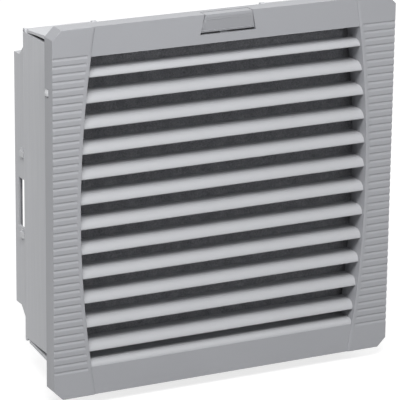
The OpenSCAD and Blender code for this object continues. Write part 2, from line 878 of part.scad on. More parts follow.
cover_frame();
ribbed_panel();  // left_ribbed_panel
mirror([1, 0, 0]) ribbed_panel();  // right_ribbed_panel
louvre(0);  // louvre_01
louvre(1);  // louvre_02
louvre(2);  // louvre_03
louvre(3);  // louvre_04
louvre(4);  // louvre_05
louvre(5);  // louvre_06
louvre(6);  // louvre_07
louvre(7);  // louvre_08
louvre(8);  // louvre_09
louvre(9);  // louvre_10
louvre(10);  // louvre_11
louvre(11);  // louvre_12
release_latch();
latch_pin();
latch_spring();
hinge_pin();  // hinge_pin_left
mirror([1, 0, 0]) hinge_pin();  // hinge_pin_right
housing();
gasket();
mirror([1, 0, 0]) side_catch();  // side_catch_left
side_catch();  // side_catch_right
filter_mat();
mat_support_grid();
mirror([1, 0, 0]) snap_flap();  // snap_flap_top_left
snap_flap();  // snap_flap_top_right
mirror([1, 0, 0]) mirror([0, 0, 1]) snap_flap();  // snap_flap_bottom_left
mirror([0, 0, 1]) snap_flap();  // snap_flap_bottom_right
flap_rod();  // flap_rod_top
mirror([0, 0, 1]) flap_rod();  // flap_rod_bottom
mirror([1, 0, 0]) leaf_spring();  // leaf_spring_top_left
leaf_spring();  // leaf_spring_top_right
mirror([1, 0, 0]) mirror([0, 0, 1]) leaf_spring();  // leaf_spring_bottom_left
mirror([0, 0, 1]) leaf_spring();  // leaf_spring_bottom_right
rear_hood();
mirror([1, 0, 0]) hood_clip(clip_upper_z);  // hood_clip_left_upper
mirror([1, 0, 0]) hood_clip(clip_lower_z);  // hood_clip_left_lower
hood_clip(clip_upper_z);  // hood_clip_right_upper
hood_clip(clip_lower_z);  // hood_clip_right_lower
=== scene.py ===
# %% [markdown]
# Enclosure exhaust filter. A square grey cover with twelve louvre blades snaps into the wall of an
# electrical cabinet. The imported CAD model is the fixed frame: it gives every piece its place, and this
# script gives the pieces their finished surfaces, materials and light. All lengths are in metres.

# %% Load the frame
import math

import bpy
import numpy as np
from mathutils import Matrix, Vector


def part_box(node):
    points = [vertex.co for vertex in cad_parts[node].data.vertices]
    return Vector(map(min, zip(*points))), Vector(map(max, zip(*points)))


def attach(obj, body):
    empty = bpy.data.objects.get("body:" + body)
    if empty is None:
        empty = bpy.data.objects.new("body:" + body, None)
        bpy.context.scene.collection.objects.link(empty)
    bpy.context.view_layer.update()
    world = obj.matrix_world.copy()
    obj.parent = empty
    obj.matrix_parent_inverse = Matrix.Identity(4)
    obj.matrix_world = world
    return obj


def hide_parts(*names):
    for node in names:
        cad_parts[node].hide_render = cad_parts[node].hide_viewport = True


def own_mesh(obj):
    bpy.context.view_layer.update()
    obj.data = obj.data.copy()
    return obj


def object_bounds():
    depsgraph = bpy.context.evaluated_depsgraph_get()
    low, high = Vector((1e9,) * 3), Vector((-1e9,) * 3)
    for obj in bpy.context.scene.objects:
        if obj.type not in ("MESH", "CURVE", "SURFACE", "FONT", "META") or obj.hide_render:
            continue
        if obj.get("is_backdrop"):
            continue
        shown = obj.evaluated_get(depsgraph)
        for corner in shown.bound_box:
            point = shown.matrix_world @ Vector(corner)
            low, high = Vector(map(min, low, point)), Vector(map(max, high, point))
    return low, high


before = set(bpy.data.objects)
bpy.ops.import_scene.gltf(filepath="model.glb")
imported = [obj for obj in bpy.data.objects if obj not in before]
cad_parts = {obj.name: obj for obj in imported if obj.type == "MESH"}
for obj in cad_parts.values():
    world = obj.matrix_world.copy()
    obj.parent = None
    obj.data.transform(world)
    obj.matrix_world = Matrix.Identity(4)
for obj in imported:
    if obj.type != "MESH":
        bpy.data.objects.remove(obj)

MM = 0.001
cad_low, cad_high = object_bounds()
print("frame:", len(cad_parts), "nodes, box", [round(v, 4) for v in (*cad_low, *cad_high)])

# %% [markdown]
# The camera comes first, because every later choice is judged through it. The photograph was taken from the
# left and a little above with a long lens, which keeps the louvres almost parallel. A wide lens close by
# would splay them, so the camera stands well back and a narrow angle of view fills the frame. The lens is
# kept as its focal length in pixels of the 400 pixel frame, and the distance as pixels per metre.

# %% Camera
AZIMUTH, ELEVATION, ROLL = -26.5, 17.6, 0.6
LENS_PX, PX_PER_M = 2800.0, 1172.0
FRAME_PX, SENSOR_MM = 400.0, 36.0
# How far right of the middle of the picture the frame's origin lies, and how far below it
ORIGIN_PX = (16.2, -10.2)
CLIP_NEAR, CLIP_FAR = 0.1, 60
HALF_COVER, Y_FRONT = 160 * MM, -20 * MM


def view_back(azimuth, elevation):
    """Unit vector from the object towards a camera or lamp, from the sines and cosines of its two angles in
    degrees: azimuth 0 looks along +Y, and elevation is the height above the horizon."""
    a, e = math.radians(azimuth), math.radians(elevation)
    return Vector((math.sin(a) * math.cos(e), -math.cos(a) * math.cos(e), math.sin(e)))


scene = bpy.context.scene
camera = bpy.data.objects.new("camera", bpy.data.cameras.new("camera"))
scene.collection.objects.link(camera)
turn = (-view_back(AZIMUTH, ELEVATION)).to_track_quat("-Z", "Y").to_matrix()
turn = turn @ Matrix.Rotation(math.radians(ROLL), 3, "Z")
place = turn @ Vector((-ORIGIN_PX[0], ORIGIN_PX[1], LENS_PX)) / PX_PER_M
camera.matrix_world = Matrix.Translation(place) @ turn.to_4x4()
camera.data.sensor_width = SENSOR_MM
camera.data.lens = LENS_PX / FRAME_PX * SENSOR_MM
camera.data.clip_start, camera.data.clip_end = CLIP_NEAR, CLIP_FAR
scene.camera = camera
scene.view_settings.view_transform = "Standard"
for x_side, z_side in ((-1, 1), (1, 1), (1, -1), (-1, -1)):
    corner = Vector((x_side * HALF_COVER, Y_FRONT, z_side * HALF_COVER))
    x, y, z = turn.transposed() @ (corner - place)
    print("cover corner at", [round(FRAME_PX / 2 + LENS_PX * v / z, 1) for v in (-x, y)])

# %% [markdown]
# Materials are built from nodes. They could be put together by hand in the shader editor, but a script keeps
# every number in sight. One helper adds a node with its settings and links, and one function turns the
# colour that the eye reads off a screen (sRGB hex) into the linear numbers that the renderer works with.


# %% Node and colour helpers
def linear(code):
    """Linear RGBA of an sRGB hex colour: a channel up to 0.04045 is divided by 12.92, and above that it goes
    through the 2.4 power curve."""
    c = np.array([int(code[i:i + 2], 16) for i in (1, 3, 5)]) / 255
    c = np.where(c <= 0.04045, c / 12.92, ((c + 0.055) / 1.055) ** 2.4)
    return (*c.tolist(), 1.0)


def add(tree, kind, links=None, **settings):
    """Adds one node. A setting named after an attribute sets it, any other sets the input of that name, and
    links gives the inputs that come from another node's output."""
    node = tree.nodes.new(kind)
    for name, value in settings.items():
        if hasattr(node, name):
            setattr(node, name, value)
    for name, value in settings.items():
        if not hasattr(node, name):
            node.inputs[name.replace("_", " ")].default_value = value
    for name, output in (links or {}).items():
        tree.links.new(output, node.inputs[name])
    return node


def new_material(name):
    """An empty node tree with a Principled shader on its output. Gives the material, its tree and shader."""
    material = bpy.data.materials.new(name)
    material.use_nodes = True
    tree = material.node_tree
    tree.nodes.clear()
    shader = add(tree, "ShaderNodeBsdfPrincipled")
    add(tree, "ShaderNodeOutputMaterial", {"Surface": shader.outputs[0]})
    return material, tree, shader


# Socket numbers of a Mix node that is set to colours: its two colours, and the blend that comes out
COLOUR_A, COLOUR_B, COLOUR_OUT = 6, 7, 2
print("mid grey #808080 is", round(linear("#808080")[0], 3), "in linear light")

# %% [markdown]
# Moulded ABS takes the texture of the steel tool that it is pressed against. Under studio light that reads
# as a soft, broad gloss with a fine grain, a faint cloudiness where the melt flowed, and edges that catch
# the light. A painted texture would need unwrapping, while noise nodes fit any shape without a seam. One fine
# noise drives both roughness and bump, so that shine and relief agree as they do on a real part.

# %% Moulded plastic
ABS_IOR = 1.53
# Height of the grain, and how far the roughness goes below and above its middle value
GRAIN_H, LESS_ROUGH, MORE_ROUGH = 0.05 * MM, 0.05, 0.07


def moulded_plastic(name, light, dark, rough=0.46, grain=0.7 * MM, depth=0.25, streak=(1, 1, 1),
                    cloud=60 * MM, streak_tint=0.0):
    """Satin plastic. Colour runs between the two hex codes in clouds, and by the share streak_tint along the
    flow lines of the melt. Roughness and bump follow a noise with cells as wide as grain, stretched by
    streak, where a small number makes the cells long in that direction."""
    material, tree, shader = new_material(name)
    place = add(tree, "ShaderNodeTexCoord").outputs["Object"]
    clouds = add(tree, "ShaderNodeTexNoise", {"Vector": place}, Scale=1 / cloud, Detail=3.0)
    stretched = add(tree, "ShaderNodeMapping", {"Vector": place})
    stretched.inputs["Scale"].default_value = streak
    fine = add(tree, "ShaderNodeTexNoise", {"Vector": stretched.outputs[0]}, Scale=1 / grain, Detail=2.0)
    tone = add(tree, "ShaderNodeMix", {"A": clouds.outputs["Fac"], "B": fine.outputs["Fac"]})
    tone.inputs["Factor"].default_value = streak_tint
    paint = add(tree, "ShaderNodeMix", {"Factor": tone.outputs[0]}, data_type="RGBA")
    paint.inputs[COLOUR_A].default_value = linear(light)
    paint.inputs[COLOUR_B].default_value = linear(dark)
    gloss = add(tree, "ShaderNodeMapRange", {"Value": fine.outputs["Fac"]},
                To_Min=rough - LESS_ROUGH, To_Max=rough + MORE_ROUGH)
    bump = add(tree, "ShaderNodeBump", {"Height": fine.outputs["Fac"]}, Strength=depth, Distance=GRAIN_H)
    tree.links.new(paint.outputs[COLOUR_OUT], shader.inputs["Base Color"])
    tree.links.new(gloss.outputs[0], shader.inputs["Roughness"])
    tree.links.new(bump.outputs[0], shader.inputs["Normal"])
    shader.inputs["IOR"].default_value = ABS_IOR
    return material


# %% [markdown]
# Four plastics differ only in their tints and in the tools that they come from, and the blades' paler tint is
# painted light. A tool's real grain is under 0.1 mm wide and wouldn't show at this distance, so it is drawn
# about ten times as coarse.

# %% Plastic finishes
# Cover: ABS moulded against a spark eroded steel tool. The tool's pits give an even satin grey, no glare.
cover_abs = moulded_plastic("abs_spark_eroded_cover", "#A3A4A8", "#9C9DA1")
# Blades: ABS from a blasted tool, duller, with lines along the blade, for one long band of light. Their
# paler tint is painted light: the cover's own plastic, lightened for the light that the upward faces catch.
blade_abs_painted_light = moulded_plastic("abs_blade_painted_light", "#B8B9BC", "#B2B3B6", rough=0.62, grain=1.2 * MM, depth=0.1,
                            streak=(0.1, 1, 1))
# Housing: ABS moulded deep in a milled tool. The cuts of the mill leave faint upright lines on its walls.
housing_abs = moulded_plastic("abs_moulded_housing", "#CDCED1", "#BDBEC1", rough=0.5, grain=1.6 * MM,
                              depth=0.4, streak=(1, 1, 0.02), streak_tint=0.7)
# Clips and catches: small ABS mouldings from a polished tool. A little glossier, they catch the eye first.
clip_abs = moulded_plastic("abs_moulded_clip", "#CDCED0", "#C5C6C8", rough=0.42)
print("plastics:", [m.name for m in (cover_abs, blade_abs_painted_light, housing_abs, clip_abs)])

# %% [markdown]
# The steel pins are drawn wire and the springs rolled strip. Both have fine lines along their length, far
# thinner than the 0.3 mm that is drawn here so that they show. A grey paint would look like plastic, so the
# shader is fully metallic and the colour belongs to the reflection.

# %% Steel
LINE_W, LINE_H = 0.3 * MM, 0.02 * MM
SMOOTHEST, ROUGHEST = 0.22, 0.38


def steel(name, code, lines):
    """Metal with fine lines: a noise drives roughness and bump, and a small number in lines stretches it in
    that direction."""
    material, tree, shader = new_material(name)
    place = add(tree, "ShaderNodeTexCoord").outputs["Object"]
    stretched = add(tree, "ShaderNodeMapping", {"Vector": place})
    stretched.inputs["Scale"].default_value = lines
    fine = add(tree, "ShaderNodeTexNoise", {"Vector": stretched.outputs[0]}, Scale=1 / LINE_W, Detail=2.0)
    gloss = add(tree, "ShaderNodeMapRange", {"Value": fine.outputs["Fac"]}, To_Min=SMOOTHEST, To_Max=ROUGHEST)
    bump = add(tree, "ShaderNodeBump", {"Height": fine.outputs["Fac"]}, Strength=0.2, Distance=LINE_H)
    tree.links.new(gloss.outputs[0], shader.inputs["Roughness"])
    tree.links.new(bump.outputs[0], shader.inputs["Normal"])
    shader.inputs["Base Color"].default_value = linear(code)
    shader.inputs["Metallic"].default_value = 1.0
    return material


# Pins and rods: bright wire drawn through a die. Its lines run lengthwise and break the highlight.
wire_steel = steel("steel_drawn_wire", "#C4C6C9", (0.05, 1, 1))
# Springs: hardened strip, rolled. Darker than wire, with a dull streaky shine along the strip.
strip_steel = steel("steel_rolled_strip", "#8E9094", (1, 0.05, 0.05))
print("metals:", wire_steel.name, strip_steel.name)

# %% [markdown]
# Every new surface is a grid of points worked out with numpy: a closed section carried along a path. Boxes
# and cylinders would be quicker, but they have no lips, waves or bulges. One helper joins the neighbours of a
# grid with four sided faces, and another makes the mesh. The sign of its volume tells whether the faces
# point outwards, whichever way round the grid was written.


# %% Mesh helpers
def skin(rows, cols, ring=False):
    """Four sided faces between the neighbours of a grid of points. The columns close round the section, and
    the rows close too where ring is true."""
    i = np.arange(rows * cols).reshape(rows, cols)
    i = np.column_stack([i, i[:, :1]])
    if ring:
        i = np.vstack([i, i[:1]])
    return np.stack([i[:-1, :-1], i[1:, :-1], i[1:, 1:], i[:-1, 1:]], axis=-1).reshape(-1, 4)


def put(name, points, material, body, nodes, ring=False, sharp=35):
    """Makes a closed piece from an array of rows x columns x 3 points in metres. Open ends are closed with a
    flat face, the piece rides on the body, and it replaces the named nodes, if any. The volume is a sixth of
    the sum of the triangles' triple products, and the faces are flipped where it is negative."""
    rows, cols = points.shape[:2]
    faces = skin(rows, cols, ring).tolist()
    if not ring:
        faces += [list(range(cols)), list(range(rows * cols - 1, (rows - 1) * cols - 1, -1))]
    mesh = bpy.data.meshes.new(name)
    mesh.from_pydata(points.reshape(-1, 3).tolist(), [], faces)
    mesh.update()
    mesh.calc_loop_triangles()
    tri = np.zeros(len(mesh.loop_triangles) * 3, int)
    mesh.loop_triangles.foreach_get("vertices", tri)
    a, b, c = points.reshape(-1, 3)[tri.reshape(-1, 3)].transpose(1, 0, 2)
    volume = (a * np.cross(b, c)).sum() / 6
    if volume < 0:
        mesh.flip_normals()
    mesh.polygons.foreach_set("use_smooth", [True] * len(mesh.polygons))
    mesh.set_sharp_from_angle(angle=math.radians(sharp))
    mesh.materials.append(material)
    piece = bpy.data.objects.new(name, mesh)
    scene.collection.objects.link(piece)
    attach(piece, body)
    if nodes:
        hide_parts(*nodes)
    print(name, len(tri) // 3, "triangles,", round(abs(volume) * 1e6, 2), "cm3")
    return piece


# %% [markdown]
# The sides of the opening are bowed: each is an arc of a large circle, 25 mm from the side of the cover half
# way up and 9.5 mm further in at the corners of the opening. Blades and side panels both end on that arc, so
# it is one function of the height instead of an edge that is drawn twice.

# %% The bowed edge
HALF_OPEN, HALF_MID, BOW = 135 * MM, 135 * MM, 9.5 * MM
BOW_R = (HALF_OPEN ** 2 + BOW ** 2) / (2 * BOW)
# Gap between the end of a blade and the side of the opening, and rows of points along a blade
END_GAP, BLADE_ROWS = 0.1 * MM, 9


def bow_x(z):
    """Half width of the opening at height z. The arc's radius is the long side of a right triangle whose
    short sides are z and the way from the middle of the circle."""
    return HALF_MID - BOW_R + np.sqrt(BOW_R ** 2 - z ** 2)


def across_opening(y, z):
    """Rows run across the opening and columns follow the section that is given as Y and Z. Each point's X is
    a share of the half width at its own height, less the gap."""
    x = np.linspace(-1, 1, BLADE_ROWS)[:, None] * (bow_x(z) - END_GAP)
    return np.stack([x, np.broadcast_to(y, x.shape), np.broadcast_to(z, x.shape)], axis=-1)


print("opening half widths", [round(float(bow_x(z)) / MM, 1) for z in (0, HALF_OPEN)], "mm")

# %% [markdown]
# A louvre blade is a thin shelf with a round nose. Seen from the side it rises from its front lip in a
# quarter circle and runs back level, so each blade is brightest where the nose faces the light and fades
# towards the back. A flat tilted plate would be one even tone instead.

# %% Section of a blade
BLADE_DEPTH, BLADE_RISE, BLADE_T = 21 * MM, 7.4 * MM, 2 * MM
LIP, NOSE_SHARE = 0.9 * MM, BLADE_RISE / BLADE_DEPTH
# Points of the fine curve, points kept of it and their crowding towards the lip, and points round the lip
FINE_STEPS, CURVE_STEPS, CROWDING, LIP_STEPS = 400, 28, 1.6, 12


def curve_of(s):
    """Height of a blade's side view as a share of its rise at the share s of its depth: a quarter circle
    over the nose, whose depth is equal to the rise, then level."""
    return np.sqrt(1 - np.clip(1 - s / NOSE_SHARE, 0, 1) ** 2)


def past_lip(line, s):
    """Points of a line, given at the shares s, from where it is as high as the lip to its end. A power of
    their number crowds them towards the lip."""
    first = np.interp(LIP, line[:, 1], s)
    at = first + (1 - first) * np.linspace(0, 1, CURVE_STEPS) ** CROWDING
    return np.column_stack([np.interp(at, s, line[:, 0]), np.interp(at, s, line[:, 1])])


def blade_section(depth, rise):
    """Closed side view of a blade as Y and Z from the lower edge: the upper curve, the same curve a wall
    lower, and half an ellipse that rounds the front lip between them."""
    s = np.linspace(0, 1, FINE_STEPS) ** 2
    above = past_lip(np.column_stack([depth * s, rise * curve_of(s)]), s)
    below = past_lip(np.column_stack([BLADE_T + (depth - BLADE_T) * s, (rise - BLADE_T) * curve_of(s)]), s)
    middle, half = (above[0, 0] + below[0, 0]) / 2, (below[0, 0] - above[0, 0]) / 2
    angle = np.linspace(0, math.pi, LIP_STEPS)[1:-1]
    lip = np.column_stack([middle + half * np.cos(angle), LIP - LIP * np.sin(angle)])
    return np.vstack([above, below[::-1], lip])


print("a blade's section has", len(blade_section(BLADE_DEPTH, BLADE_RISE)), "points")

# %% [markdown]
# Twelve blades hang one pitch apart, and the first is only three quarters as large, close under the top rail.
# An array modifier could repeat one blade, but each of them ends on another width of the arc, so a loop
# makes every blade from its own height.

# %% Louvre blades
BLADES, PITCH, FIRST_Z, BLADE_Y = 12, 21.7 * MM, HALF_OPEN - 18.3 * MM, -17 * MM
FIRST_SHARE = 0.75

for i in range(BLADES):
    share = FIRST_SHARE if i == 0 else 1.0
    section = blade_section(share * BLADE_DEPTH, share * BLADE_RISE)
    points = across_opening(BLADE_Y + section[:, 0], FIRST_Z - i * PITCH + section[:, 1])
    put("blade_%02d" % (i + 1), points, blade_abs_painted_light, "cover", ["louvre_%02d" % (i + 1)])

# %% [markdown]
# Below the last blade the opening ends in a sill that looks like half a blade. It is moulded in one with the
# cover on the real part. Joining the two meshes would change the frame's own, which is left alone, so this
# piece sinks into the cover instead, with the blades' curve on top and a flat foot inside.

# %% Sill
SILL_Y, SILL_DEPTH, SILL_RISE, SILL_SINK = -18.5 * MM, 13.5 * MM, 4.6 * MM, 0.6 * MM
SILL_STEPS = 25

s = np.linspace(0, 1, SILL_STEPS) ** 2
top = np.column_stack([SILL_DEPTH * s, SILL_RISE * curve_of(s)])
foot = np.array([[SILL_DEPTH, -SILL_SINK], [0, -SILL_SINK]])
section = np.vstack([top, foot])
points = across_opening(SILL_Y + section[:, 0], -HALF_OPEN + section[:, 1])
# The sill takes the blades' paler tint, painted light on its upward facing slope.
put("sill", points, blade_abs_painted_light, "cover", [])

# %% [markdown]
# The side panels carry 43 fine grooves that run from the outer edge and stop short of the opening. A groove
# only 0.6 mm deep shows as a dark line with a bright lip. A bump texture would give no lip at the outer
# edge, where the grooves run out, so the front is a height field with rows of points along every lip.

# %% Grooves
RIBS, RIBBED_H = 42, 271.6 * MM
GROOVE_PITCH, GROOVE_W, GROOVE_D = RIBBED_H / RIBS, 3.6 * MM, 0.62 * MM
# Where a groove is deepest, as a share of its half width above its middle
GROOVE_LOW = 0.12


def groove_depth(z):
    """Depth of the grooves at height z: in each groove a valley of two half cosines, a short one down from
    the upper lip and a long one that leads out below, and zero on the ribs between."""
    off = (z + RIBBED_H / 2 + GROOVE_PITCH / 2) % GROOVE_PITCH - GROOVE_PITCH / 2
    t = 2 * off / GROOVE_W
    over, under = (t - GROOVE_LOW) / (1 - GROOVE_LOW), (GROOVE_LOW - t) / (1 + GROOVE_LOW)
    fall = np.where(t > GROOVE_LOW, over, under)
    inside = (np.abs(t) < 1) & (np.abs(z) < RIBBED_H / 2 + GROOVE_W)
    return np.where(inside, GROOVE_D * (1 + np.cos(math.pi * np.clip(fall, 0, 1))) / 2, 0.0)


print(RIBS + 1, "grooves, one every", round(GROOVE_PITCH / MM, 2), "mm")

# %% [markdown]
# A panel is one closed skin round its section. Even steps would need a million points to catch the lips, so
# the rows lie where the grooves bend, and the columns crowd at the rounded outer edge, where the grooves fade
# out at the border, and at the arc of the opening.

# %% Grid of a panel
# Rows: in each groove as shares of its width from its middle, and in from both ends of the panel
GROOVE_ROWS = np.array([-0.6, -0.5, -0.4, -0.28, -0.15, 0, 0.08, 0.15, 0.22, 0.3, 0.38, 0.44, 0.5, 0.6])
END_ROWS = np.array([0, 0.08, 0.2, 0.35, 1, 4, 8, 12, 18]) * MM
# Columns: in from the outer edge, one on the plain ribs, through the fade, and out from the opening
OUTER_COLS = np.array([0, 0.1, 0.2, 0.35, 1.2]) * MM
RIB_COL = 6 * MM
FADE_COLS = np.array([0.93, 0.75, 0.5, 0.25, 0.07, 0])
INNER_COLS = np.array([2.7, 2, 1.4, 0.95, 0.66, 0.45, 0.27, 0.14, 0.05, 0]) * MM
# Width of the plain border and of the fade next to it, the power that shapes the fade, and the cut corners
BORDER, FADE_W, FADE_POWER, CORNER_CUT = 3 * MM, 1.2 * MM, 0.7, 8 * MM


def panel_grid():
    """Height z of each row, X of each point, and X of the outer and inner edge in each row. The outer edge
    steps in by as much as a row is above the start of the cut corner, and no column passes an edge."""
    centres = RIBBED_H / 2 - np.arange(RIBS + 1) * GROOVE_PITCH
    rows = (centres[:, None] + GROOVE_ROWS * GROOVE_W).ravel()
    ends = HALF_COVER - END_ROWS
    z = np.unique(np.round(np.concatenate([rows, ends, -ends]), 7))[::-1]
    outer = HALF_COVER - np.maximum(0, np.abs(z) - (HALF_COVER - CORNER_CUT))
    inner = bow_x(z)
    columns = [outer - step for step in OUTER_COLS] + [inner + BORDER + RIB_COL]
    columns += [inner + BORDER + FADE_W * share for share in FADE_COLS]
    columns += [inner + step for step in INNER_COLS]
    outer, inner = outer[:, None], inner[:, None]
    return z, np.clip(np.stack(columns, axis=1), inner, outer), outer, inner


print("a panel's front has", panel_grid()[1].shape, "points")

# %% [markdown]
# The front of a panel dips into the grooves and falls back at its edges. The inner edge is sharp beside the
# opening and softer beside the rails, where it meets the cover in a shallow joint. A bevel modifier would
# give it one width all the way along, so the rounding is part of the height field too.

# %% Ribbed side panels
Y_FACE, EDGE, SOFTENING = -18.8 * MM, 0.35 * MM, 3 * MM
# Width and depth of the inner edge's rounding, first beside the opening and then beside the rails
INNER_W, INNER_D = (0.5 * MM, 2.6 * MM), (0.45 * MM, 1.1 * MM)


def quarter_round(near, width, depth):
    """How far a rounded edge falls back at the distance near from it: a quarter ellipse as wide and as deep
    as given."""
    return depth * (1 - np.sqrt(1 - np.clip(1 - near / width, 0, 1) ** 2))


def panel_points(sign):
    """Rows run down the panel, columns round its section: the front from the outer edge to the opening, then
    the back. The front's depth is the roundings of its edges plus the groove depth, faded at the border."""
    z, x, outer, inner = panel_grid()
    near_rim = np.minimum(outer - x, (HALF_COVER - np.abs(z))[:, None])
    beside = (HALF_OPEN, HALF_OPEN + SOFTENING)
    width, depth = (np.interp(np.abs(z), beside, ends)[:, None] for ends in (INNER_W, INNER_D))
    rounding = quarter_round(near_rim, EDGE, EDGE) + quarter_round(x - inner, width, depth)
    fade = np.clip((x - inner - BORDER) / FADE_W, 0, 1) ** FADE_POWER
    y = Y_FRONT + rounding + groove_depth(z)[:, None] * fade
    front = np.stack([sign * x, y, np.broadcast_to(z[:, None], x.shape)], axis=-1)
    rear = front[:, [-1, 0]].copy()
    rear[:, :, 1] = Y_FACE
    return np.concatenate([front, rear], axis=1)


for side, sign in (("left", -1), ("right", 1)):
    put(side + "_panel", panel_points(sign), cover_abs, "cover",
        [side + "_ribbed_panel"], sharp=50)

# %% [markdown]
# The grip plate in the top edge slopes back towards a finger slot. A fine raised border runs round its
# field. A bevelled curve would give a round bead that floats, so the border is a half round bead with a
# foot below the slope, carried along a trapezium.

# %% Border of the grip plate
# Lower and upper end of the slope as Y and Z, and the trapezium's corners across and up the slope
GRIP_LOW, GRIP_HIGH = np.array([-16.8, 144.2]) * MM, np.array([-20, 157.8]) * MM
BORDER_CORNERS = np.array([[-23.2, 1.6], [23.2, 1.6], [20.6, 11.6], [-20.6, 11.6]]) * MM
# The bead's height and depth below the slope, and its half width as shares of the way to the middle
BEAD_H, BEAD_SINK, BEAD_SHARES = 0.35 * MM, 0.1 * MM, (0.02, 0.05)
SIDE_STEPS, BEAD_STEPS = 20, 9


def round_corners(corners, steps):
    """Points round a closed outline: every straight stretch between two corners in equal steps."""
    share = np.linspace(0, 1, steps, endpoint=False)[:, None]
    return np.concatenate([a + (b - a) * share for a, b in zip(corners, np.roll(corners, -1, axis=0))])


def grip_border():
    """Rows go round the trapezium, columns round the bead: a half circle above the slope and a flat foot
    under it. Each point is the slope's point across and up plus the bead's height along the normal."""
    slope = GRIP_HIGH - GRIP_LOW
    length = np.linalg.norm(slope)
    up, normal = slope / length, np.array([-slope[1], slope[0]]) / length
    line = round_corners(BORDER_CORNERS, SIDE_STEPS)
    inward = (BORDER_CORNERS.mean(axis=0) - line) * BEAD_SHARES
    angle = np.linspace(0, math.pi, BEAD_STEPS)[None, :]
    across = line[:, :1] + inward[:, :1] * np.cos(angle)
    along = line[:, 1:] + inward[:, 1:] * np.cos(angle)
    height = BEAD_H * np.sin(angle) - BEAD_SINK
    y = GRIP_LOW[0] + up[0] * along + normal[0] * height
    z = GRIP_LOW[1] + up[1] * along + normal[1] * height
    return np.stack([across, y, z], axis=-1)


put("grip_border", grip_border(), cover_abs, "latch", [], ring=True)

# %% [markdown]
# The filter mat is polyester fibre, teased and needled into a loose pad. Its matted strands look dull and
# woolly. Its dark grey tint is painted shade, the deep shade behind the blades on a mat that is white. Hair
# strands could be drawn one by one, but they are too fine to show from here, so one distorted noise draws
# clumps 1.4 mm wide in tint and bump.

# %% Fibre
CLUMP_W, CLUMP_H = 1.4 * MM, 0.9 * MM


def fibre():
    """Dull woolly material: the middle of the noise's range is spread over the two tints, the noise itself
    is the height of the bump, and a little sheen lightens it at grazing angles."""
    material, tree, shader = new_material("polyester_fibre_painted_shade")
    place = add(tree, "ShaderNodeTexCoord").outputs["Object"]
    clumps = add(tree, "ShaderNodeTexNoise", {"Vector": place}, Scale=1 / CLUMP_W, Detail=5.0, Distortion=1.5)
    contrast = add(tree, "ShaderNodeMapRange", {"Value": clumps.outputs["Fac"]}, From_Min=0.35, From_Max=0.65)
    tint = add(tree, "ShaderNodeMix", {"Factor": contrast.outputs[0]}, data_type="RGBA")
    # Both tints are dark grey: painted shade for the deep gaps behind the blades, on a mat that is white.
    tint.inputs[COLOUR_A].default_value = linear("#707175")
    tint.inputs[COLOUR_B].default_value = linear("#939498")
    bump = add(tree, "ShaderNodeBump", {"Height": clumps.outputs["Fac"]}, Strength=1.0, Distance=CLUMP_H)
    tree.links.new(tint.outputs[COLOUR_OUT], shader.inputs["Base Color"])
    tree.links.new(bump.outputs[0], shader.inputs["Normal"])
    shader.inputs["Roughness"].default_value = 0.95
    shader.inputs["Sheen Weight"].default_value = 0.15
    return material


fibre_painted_shade = fibre()
print("mat:", fibre_painted_shade.name)

# %% [markdown]
# The pad is pressed into upright flutes, which give the air more surface. A cloth simulation would puff it
# up like a cushion, while fibre this stiff keeps its flutes. So it is one closed pad whose two faces wave
# together, uneven as teased fibre is and drawn in at its hems.

# %% Filter mat
MAT_LOW, MAT_HIGH = (np.array(v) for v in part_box("filter_mat"))
# Number and depth of the flutes, the share of that depth that the waves take, and columns of points in each
FLUTES, FLUTE_D, WAVE_SHARE, FLUTE_COLS = 14, 4 * MM, 0.6, 16
# Rows near each hem, where the even rows begin and their number, the hem's rounding, and room to the box
HEM_ROWS, EVEN_FROM, EVEN_ROWS = np.array([0, 0.4, 1.2, 2.4, 4]) * MM, 8 * MM, 60
HEM_W, HEM_D, MAT_CLEAR = 4 * MM, 1.6 * MM, 0.05 * MM
# Seed, number and height of the random ripples, and ranges of their rates per metre and of their phases
SEED, RIPPLES, RIPPLE_H, RATES, PHASES = 7, 9, 0.12 * MM, (60, 900), (0, 6.3)


def mat_points():
    """Rows run up the mat, columns round its section. Both faces follow a cosine with one wave per flute,
    the hems are drawn in by a quarter ellipse, and a sum of sines with random rates and phases, the same in
    each run, makes the fibre uneven."""
    u = np.linspace(0, 1, FLUTES * FLUTE_COLS + 1)
    x = MAT_LOW[0] + (MAT_HIGH[0] - MAT_LOW[0]) * u
    even = np.linspace(MAT_LOW[2] + EVEN_FROM, MAT_HIGH[2] - EVEN_FROM, EVEN_ROWS)
    z = np.concatenate([MAT_LOW[2] + HEM_ROWS, even, MAT_HIGH[2] - HEM_ROWS[::-1]])[:, None]
    pinch = quarter_round(np.minimum(z - MAT_LOW[2], MAT_HIGH[2] - z), HEM_W, HEM_D)
    wave = WAVE_SHARE * FLUTE_D * (1 - np.cos(2 * math.pi * FLUTES * u)) / 2
    rng = np.random.default_rng(SEED)
    along, up, phase = (rng.uniform(*span, RIPPLES) for span in (RATES, RATES, PHASES))
    rough = sum(RIPPLE_H * np.sin(x[None, :] * a + z * b + c) for a, b, c in zip(along, up, phase))
    rough = rough - rough.min()
    front = MAT_LOW[1] + MAT_CLEAR + wave + rough * 0.5 + pinch
    rear = MAT_HIGH[1] - MAT_CLEAR - FLUTE_D + wave - rough * 0.5 - pinch
    xs = np.broadcast_to(x, front.shape)
    zs = np.broadcast_to(z, front.shape)
    return np.concatenate([np.stack([xs, front, zs], -1), np.stack([xs, rear, zs], -1)[:, ::-1]], axis=1)


mat = put("fibre_mat", mat_points(), fibre_painted_shade, "housing", ["filter_mat"], sharp=80)

# %% [markdown]
# The gasket is polyurethane, foamed in place as a ring on the flange. Its skin is dull and pocked with small
# cells. Modelled pits would take millions of faces, so a pattern node draws the cells with higher walls, and
# their darker middles are painted shade in the pits. Real cells are about 0.3 mm wide and wouldn't show, so
# they are drawn 0.9 mm wide.

# %% Foam
CELL_W, CELL_H = 0.9 * MM, 0.2 * MM


